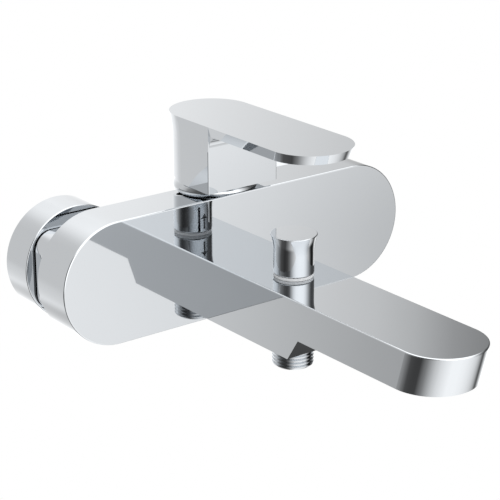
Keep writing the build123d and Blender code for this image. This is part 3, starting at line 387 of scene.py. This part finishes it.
def finish_named(slot_name):
    """The material of a slot, made the first time that it is asked for."""
    for material in bpy.data.materials:
        if material.get("faucet_slot") == slot_name:
            return material
    material = FINISHES[slot_name](bpy.context.scene.faucet_finishes)
    material["faucet_slot"] = slot_name
    material.name = "faucet_" + slot_name
    return material


# ---------------------------------------------------------------- shaping helpers
def draw_line(bm, start, moves):
    """Line of runs and turns from a start point.  A run is a vector; a turn is a centre, an axis,
    degrees and steps."""
    last = bm.verts.new(start)
    for move in moves:
        if isinstance(move, Vector):
            grown = bmesh.ops.extrude_vert_indiv(bm, verts=[last])
            last = grown["verts"][0]
            bmesh.ops.translate(bm, verts=[last], vec=move)
        else:
            centre, axis, degrees, steps = move
            swept = bmesh.ops.spin(bm, geom=[last], cent=centre, axis=axis, dvec=(0, 0, 0),
                                   angle=math.radians(degrees), steps=steps,
                                   use_merge=False, use_duplicate=False)
            last = next(item for item in swept["geom_last"] if isinstance(item, bmesh.types.BMVert))
    bmesh.ops.remove_doubles(bm, verts=bm.verts, dist=MERGE_DISTANCE)


def lathe(bm, centre, axis, steps):
    """Turn the drawn line once round an axis and close its poles."""
    bmesh.ops.spin(bm, geom=bm.verts[:] + bm.edges[:], cent=centre, axis=axis, dvec=(0, 0, 0),
                   angle=math.tau, steps=steps, use_merge=True, use_duplicate=False)
    bmesh.ops.remove_doubles(bm, verts=bm.verts, dist=MERGE_DISTANCE)
    bmesh.ops.dissolve_degenerate(bm, edges=bm.edges, dist=MERGE_DISTANCE)


def place_piece(name, bm, slot_name, body, *nodes):
    """Make the finished mesh a piece that rides on a body and stands for CAD nodes."""
    bmesh.ops.remove_doubles(bm, verts=bm.verts, dist=MERGE_DISTANCE)
    bmesh.ops.recalc_face_normals(bm, faces=bm.faces)
    for face in bm.faces:
        face.smooth = True
    for edge in bm.edges:
        edge.smooth = edge.calc_face_angle(0.0) < SHARP_ANGLE
    mesh = bpy.data.meshes.new(name)
    bm.to_mesh(mesh)
    bm.free()
    piece = bpy.data.objects.new(name, mesh)
    bpy.context.scene.collection.objects.link(piece)
    mesh.materials.append(finish_named(slot_name))
    flat_first = piece.modifiers.new("FlatFacesFirst", "WEIGHTED_NORMAL")
    flat_first.keep_sharp = True
    flat_first.weight = 100
    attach(piece, body)
    if nodes:
        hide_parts(*nodes)
    return piece


# ---------------------------------------------------------------- operators
class FAUCET_OT_diverter_knob(bpy.types.Operator):
    """Flared pull-up knob with a plain arrow on the side that faces the body"""

    bl_idname = "faucet.diverter_knob"
    bl_label = "Diverter knob"

    def execute(self, context):
        sizes = context.scene.faucet_sizes
        axis = (knob_low + knob_high) / 2
        axis.z = 0
        height = knob_high.z - knob_low.z
        top_radius = knob_high.x - axis.x
        edge = KNOB_EDGE
        flare_z = knob_low.z + KNOB_STRAIGHT_SHARE * height
        rise = knob_high.z - edge - flare_z
        swell = top_radius - sizes.knob_radius
        flare_radius = (rise ** 2 + swell ** 2) / (2 * swell)
        flare_centre = axis + (sizes.knob_radius + flare_radius) * X + flare_z * Z
        flare_turn = math.degrees(math.asin(rise / flare_radius))
        bm = bmesh.new()
        draw_line(bm, axis + knob_low.z * Z, [
            (sizes.knob_radius - edge) * X,
            (axis + (sizes.knob_radius - edge) * X + (knob_low.z + edge) * Z, Y, -90, EDGE_STEPS),
            (flare_z - knob_low.z - edge) * Z,
            (flare_centre, Y, flare_turn, FLARE_STEPS),
            (axis + (top_radius - edge) * X + (knob_high.z - edge) * Z, Y, -90, EDGE_STEPS),
            -(top_radius - edge) * X,
        ])
        lathe(bm, axis, Z, KNOB_STEPS)
        place_piece("polished_knob", bm, "polished_chrome", DIVERTER_BODY, "diverter_knob")
        self.draw_arrow(axis, sizes.knob_radius, knob_low.z + ARROW_FOOT_SHARE * height)
        return {"FINISHED"}

    def draw_arrow(self, axis, radius, foot_z):
        """Arrow of dark enamel, bent round the knob: pull up."""
        bm = bmesh.new()
        shaft = bmesh.ops.create_grid(bm, x_segments=4, y_segments=1, size=0.5)["verts"]
        bmesh.ops.scale(bm, verts=shaft, vec=(SHAFT_WIDTH, SHAFT_HEIGHT, 1))
        bmesh.ops.translate(bm, verts=shaft, vec=(0, SHAFT_HEIGHT / 2, 0))
        head = bmesh.ops.create_grid(bm, x_segments=12, y_segments=1, size=0.5)["verts"]
        bmesh.ops.scale(bm, verts=head, vec=(HEAD_WIDTH, HEAD_HEIGHT, 1))
        bmesh.ops.translate(bm, verts=head, vec=(0, HEAD_MIDDLE, 0))
        # the whole upper edge of the head closes to its point
        for vert in head:
            if vert.co.y > HEAD_MIDDLE:
                vert.co.x = 0
        for vert in bm.verts:
            out = math.sqrt((radius + ARROW_PROUD) ** 2 - vert.co.x ** 2)
            vert.co = Vector((axis.x + vert.co.x, axis.y + out, foot_z + vert.co.y))
        arrow = place_piece("knob_arrow", bm, "black_rubber", DIVERTER_BODY)
        arrow.data.materials[0] = arrow_enamel()


class FAUCET_OT_rosettes(bpy.types.Operator):
    """Round wall covers behind the body"""

    bl_idname = "faucet.rosettes"
    bl_label = "Rosettes"

    def execute(self, context):
        sizes = context.scene.faucet_sizes
        for side in ("left", "right"):
            low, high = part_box(side + "_rosette")
            nut_low, nut_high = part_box(side + "_union_nut")
            middle = (low + high) / 2
            middle.y = high.y
            radius = (high.x - low.x) / 2
            hole = (nut_high.x - nut_low.x) / 2 + ROSETTE_NUT_GAP
            depth = high.y - low.y
            edge = ROSETTE_EDGE
            inner = radius - sizes.rosette_wall
            bm = bmesh.new()
            draw_line(bm, middle + radius * X, [
                -(depth - edge) * Y,
                (middle + (radius - edge) * X - (depth - edge) * Y, Z, -90, EDGE_STEPS),
                -(radius - edge - hole) * X,
                ROSETTE_FACE * Y,
                (inner - hole) * X,
                (depth - ROSETTE_FACE) * Y,
                sizes.rosette_wall * X,
            ])
            lathe(bm, middle, Y, ROSETTE_STEPS)
            place_piece(f"polished_{side}_rosette", bm, "polished_chrome", FIXED_BODY, side + "_rosette")
        return {"FINISHED"}


class FAUCET_OT_inner_parts(bpy.types.Operator):
    """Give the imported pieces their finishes"""

    bl_idname = "faucet.inner_parts"
    bl_label = "Inner parts"

    def execute(self, context):
        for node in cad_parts.values():
            for slot in node.material_slots:
                slot_name = slot.material.name
                if slot_name in FINISHES:
                    slot.material = finish_named(slot_name)
        # the casting and the union nuts show a little and are chrome plated
        for plated in ("body_casting", "left_union_nut", "right_union_nut"):
            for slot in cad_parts[plated].material_slots:
                slot.material = finish_named("polished_chrome")
        return {"FINISHED"}


class FAUCET_OT_studio(bpy.types.Operator):
    """Set up the floor, the soft light and the camera"""

    bl_idname = "faucet.studio"
    bl_label = "Studio"

    def execute(self, context):
        studio = context.scene.faucet_studio
        lay_floor(studio)
        light_room(studio)
        place_camera(studio)
        context.scene.view_settings.view_transform = "Standard"
        return {"FINISHED"}


def lay_floor(studio):
    """Plain pale floor below the faucet."""
    bm = bmesh.new()
    bmesh.ops.create_grid(bm, x_segments=8, y_segments=8, size=studio.floor_size / 2)
    bmesh.ops.translate(bm, verts=bm.verts, vec=-studio.floor_drop * Z)
    mesh = bpy.data.meshes.new("studio_floor")
    bm.to_mesh(mesh)
    bm.free()
    floor = bpy.data.objects.new("studio_floor", mesh)
    bpy.context.scene.collection.objects.link(floor)
    floor.data.materials.append(floor_material(studio))
    floor.visible_glossy = False


def floor_material(studio):
    """Pale paper, evenly bright to the eye and soft grey in the chrome."""
    material = bpy.data.materials.new("PaleFloor")
    material.use_nodes = True
    nodes, links = material.node_tree.nodes, material.node_tree.links
    shader = nodes["Principled BSDF"]
    shader.inputs["Roughness"].default_value = 0.9
    place = nodes.new("ShaderNodeTexCoord")
    paper = nodes.new("ShaderNodeTexNoise")
    paper.inputs["Scale"].default_value = 60.0
    tint = nodes.new("ShaderNodeMix")
    tint.data_type = "RGBA"
    tint.inputs["A"].default_value = (*(c * 0.97 for c in studio.floor_colour), 1)
    tint.inputs["B"].default_value = (*studio.floor_colour, 1)
    links.new(place.outputs["Object"], paper.inputs["Vector"])
    links.new(paper.outputs["Fac"], tint.inputs["Factor"])
    links.new(tint.outputs["Result"], shader.inputs["Base Color"])
    path = nodes.new("ShaderNodeLightPath")
    glow = nodes.new("ShaderNodeEmission")
    glow.inputs["Color"].default_value = (1, 1, 1, 1)
    glow.inputs["Strength"].default_value = 1.0
    choose = nodes.new("ShaderNodeMixShader")
    links.new(path.outputs["Is Camera Ray"], choose.inputs["Fac"])
    links.new(shader.outputs["BSDF"], choose.inputs[1])
    links.new(glow.outputs["Emission"], choose.inputs[2])
    links.new(choose.outputs["Shader"], nodes["Material Output"].inputs["Surface"])
    return material


# The light tent: bearing from +X in degrees, then the wall's brightness near its foot, below eye
# level and above it, before the studio level.  The dark stretches are black flags, which draw the
# dark lines on the polished edges.
TENT_WALLS = (
    (-180, 0.06, 0.03, 0.10),
    (-164, 0.22, 0.05, 0.08),
    (-152, 0.42, 0.14, 0.15),
    (-140, 0.62, 0.33, 0.60),
    (-128, 0.78, 0.56, 1.10),
    (-115, 0.90, 0.82, 1.40),
    (-96, 1.04, 0.94, 1.50),
    (-72, 1.04, 0.94, 1.45),
    (-59, 1.00, 0.89, 1.20),
    (-53, 0.98, 0.79, 1.00),
    (-47, 0.94, 0.55, 0.80),
    (-40, 0.90, 0.46, 0.60),
    (-31, 0.82, 0.22, 0.35),
    (-21, 0.69, 0.02, 0.15),
    (-9, 0.44, 0.01, 0.08),
    (1, 0.14, 0.02, 0.08),
    (10, 0.02, 0.40, 0.10),
    (20, 0.40, 0.80, 0.12),
    (30, 1.00, 1.05, 0.14),
    (42, 1.08, 1.15, 0.14),
    (45, 1.05, 1.15, 0.32),
    (47, 1.00, 1.10, 0.53),
    (57, 0.95, 1.05, 0.86),
    (68, 0.80, 1.05, 0.95),
    (86, 0.60, 0.95, 0.85),
    (104, 0.42, 0.90, 0.66),
    (116, 0.40, 0.72, 0.60),
    (126, 0.38, 0.62, 0.60),
    (132, 0.34, 0.42, 0.60),
    (143, 0.22, 0.20, 0.50),
    (155, 0.08, 0.07, 0.25),
    (180, 0.06, 0.03, 0.10),
)


def tent_ramp(nodes, links, bearing, column):
    """Colour ramp that turns a bearing into the brightness of the tent wall."""
    ramp = nodes.new("ShaderNodeValToRGB")
    stops = ramp.color_ramp.elements
    while len(stops) > 1:
        stops.remove(stops[-1])
    for index, wall in enumerate(TENT_WALLS):
        place = (wall[0] + 180) / 360
        stop = stops[0] if index == 0 else stops.new(place)
        stop.position = place
        stop.color = (wall[column],) * 3 + (1,)
    links.new(bearing, ramp.inputs["Fac"])
    return ramp.outputs["Color"]


def tent_blend(nodes, links, height, span, below, above):
    """Softly changes from one wall to the next between two heights."""
    share = nodes.new("ShaderNodeMapRange")
    share.interpolation_type = "SMOOTHSTEP"
    share.inputs["From Min"].default_value = span[0]
    share.inputs["From Max"].default_value = span[1]
    links.new(height, share.inputs["Value"])
    mix = nodes.new("ShaderNodeMix")
    mix.data_type = "RGBA"
    links.new(share.outputs["Result"], mix.inputs["Factor"])
    links.new(below, mix.inputs["A"])
    links.new(above, mix.inputs["B"])
    return mix.outputs["Result"]


def light_room(studio):
    """Light tent with soft bright walls and black flags; the eye sees plain white behind the faucet."""
    world = bpy.data.worlds.new("SoftStudio")
    world.use_nodes = True
    bpy.context.scene.world = world
    nodes, links = world.node_tree.nodes, world.node_tree.links
    direction = nodes.new("ShaderNodeTexCoord")
    parts = nodes.new("ShaderNodeSeparateXYZ")
    links.new(direction.outputs["Generated"], parts.inputs["Vector"])
    turn = nodes.new("ShaderNodeMath")
    turn.operation = "ARCTAN2"
    links.new(parts.outputs["Y"], turn.inputs[0])
    links.new(parts.outputs["X"], turn.inputs[1])
    bearing = nodes.new("ShaderNodeMapRange")
    bearing.inputs["From Min"].default_value = -math.pi
    bearing.inputs["From Max"].default_value = math.pi
    links.new(turn.outputs[0], bearing.inputs["Value"])
    foot = tent_ramp(nodes, links, bearing.outputs["Result"], 1)
    lower = tent_ramp(nodes, links, bearing.outputs["Result"], 2)
    upper = tent_ramp(nodes, links, bearing.outputs["Result"], 3)
    height = parts.outputs["Z"]
    wall = tent_blend(nodes, links, height, FOOT_TO_LOWER, foot, lower)
    wall = tent_blend(nodes, links, height, LOWER_TO_UPPER, wall, upper)
    # the roof of the tent glows evenly
    roof = nodes.new("ShaderNodeRGB")
    roof.outputs["Color"].default_value = (studio.roof_level,) * 3 + (1,)
    tent = tent_blend(nodes, links, height, UPPER_TO_ROOF, wall, roof.outputs["Color"])
    lit = nodes["Background"]
    links.new(tent, lit.inputs["Color"])
    lit.inputs["Strength"].default_value = studio.studio_level
    plain = nodes.new("ShaderNodeBackground")
    plain.inputs["Color"].default_value = (1, 1, 1, 1)
    path = nodes.new("ShaderNodeLightPath")
    choose = nodes.new("ShaderNodeMixShader")
    links.new(path.outputs["Is Camera Ray"], choose.inputs["Fac"])
    links.new(lit.outputs["Background"], choose.inputs[1])
    links.new(plain.outputs["Background"], choose.inputs[2])
    links.new(choose.outputs["Shader"], nodes["World Output"].inputs["Surface"])


def place_camera(studio):
    """Camera at the viewing angle of a catalogue picture."""
    camera_data = bpy.data.cameras.new("studio_camera")
    camera_data.lens = studio.camera_lens
    camera_data.sensor_width = 36.0
    camera_data.shift_x = studio.camera_shift[0]
    camera_data.shift_y = studio.camera_shift[1]
    camera_data.clip_start = 0.01
    camera_data.clip_end = 60.0
    camera = bpy.data.objects.new("studio_camera", camera_data)
    bpy.context.scene.collection.objects.link(camera)
    place = Vector(studio.camera_place)
    toward = Vector(studio.camera_target) - place
    camera.location = place
    camera.rotation_euler = toward.to_track_quat("-Z", "Y").to_euler()
    bpy.context.scene.camera = camera


class FAUCET_PT_looks(bpy.types.Panel):
    """Sidebar panel with the faucet's operators"""

    bl_idname = "FAUCET_PT_looks"
    bl_label = "Bath Faucet"
    bl_space_type = "VIEW_3D"
    bl_region_type = "UI"
    bl_category = "Faucet"

    def draw(self, context):
        for operator in OPERATORS:
            self.layout.operator(operator.bl_idname)


OPERATORS = (
    FAUCET_OT_inner_parts,
    FAUCET_OT_diverter_knob,
    FAUCET_OT_rosettes,
    FAUCET_OT_studio,
)
SETTINGS = {
    "faucet_sizes": FaucetSizes,
    "faucet_finishes": FaucetFinishes,
    "faucet_studio": FaucetStudio,
}
CLASSES = (*SETTINGS.values(), *OPERATORS, FAUCET_PT_looks)


def register():
    for cls in CLASSES:
        bpy.utils.register_class(cls)
    for name, group in SETTINGS.items():
        setattr(bpy.types.Scene, name, PointerProperty(type=group))


def unregister():
    for name in SETTINGS:
        delattr(bpy.types.Scene, name)
    for cls in reversed(CLASSES):
        bpy.utils.unregister_class(cls)


def main():
    register()
    for operator in OPERATORS:
        group_name, operator_name = operator.bl_idname.split(".")
        getattr(getattr(bpy.ops, group_name), operator_name)()


if __name__ == "__main__":
    main()
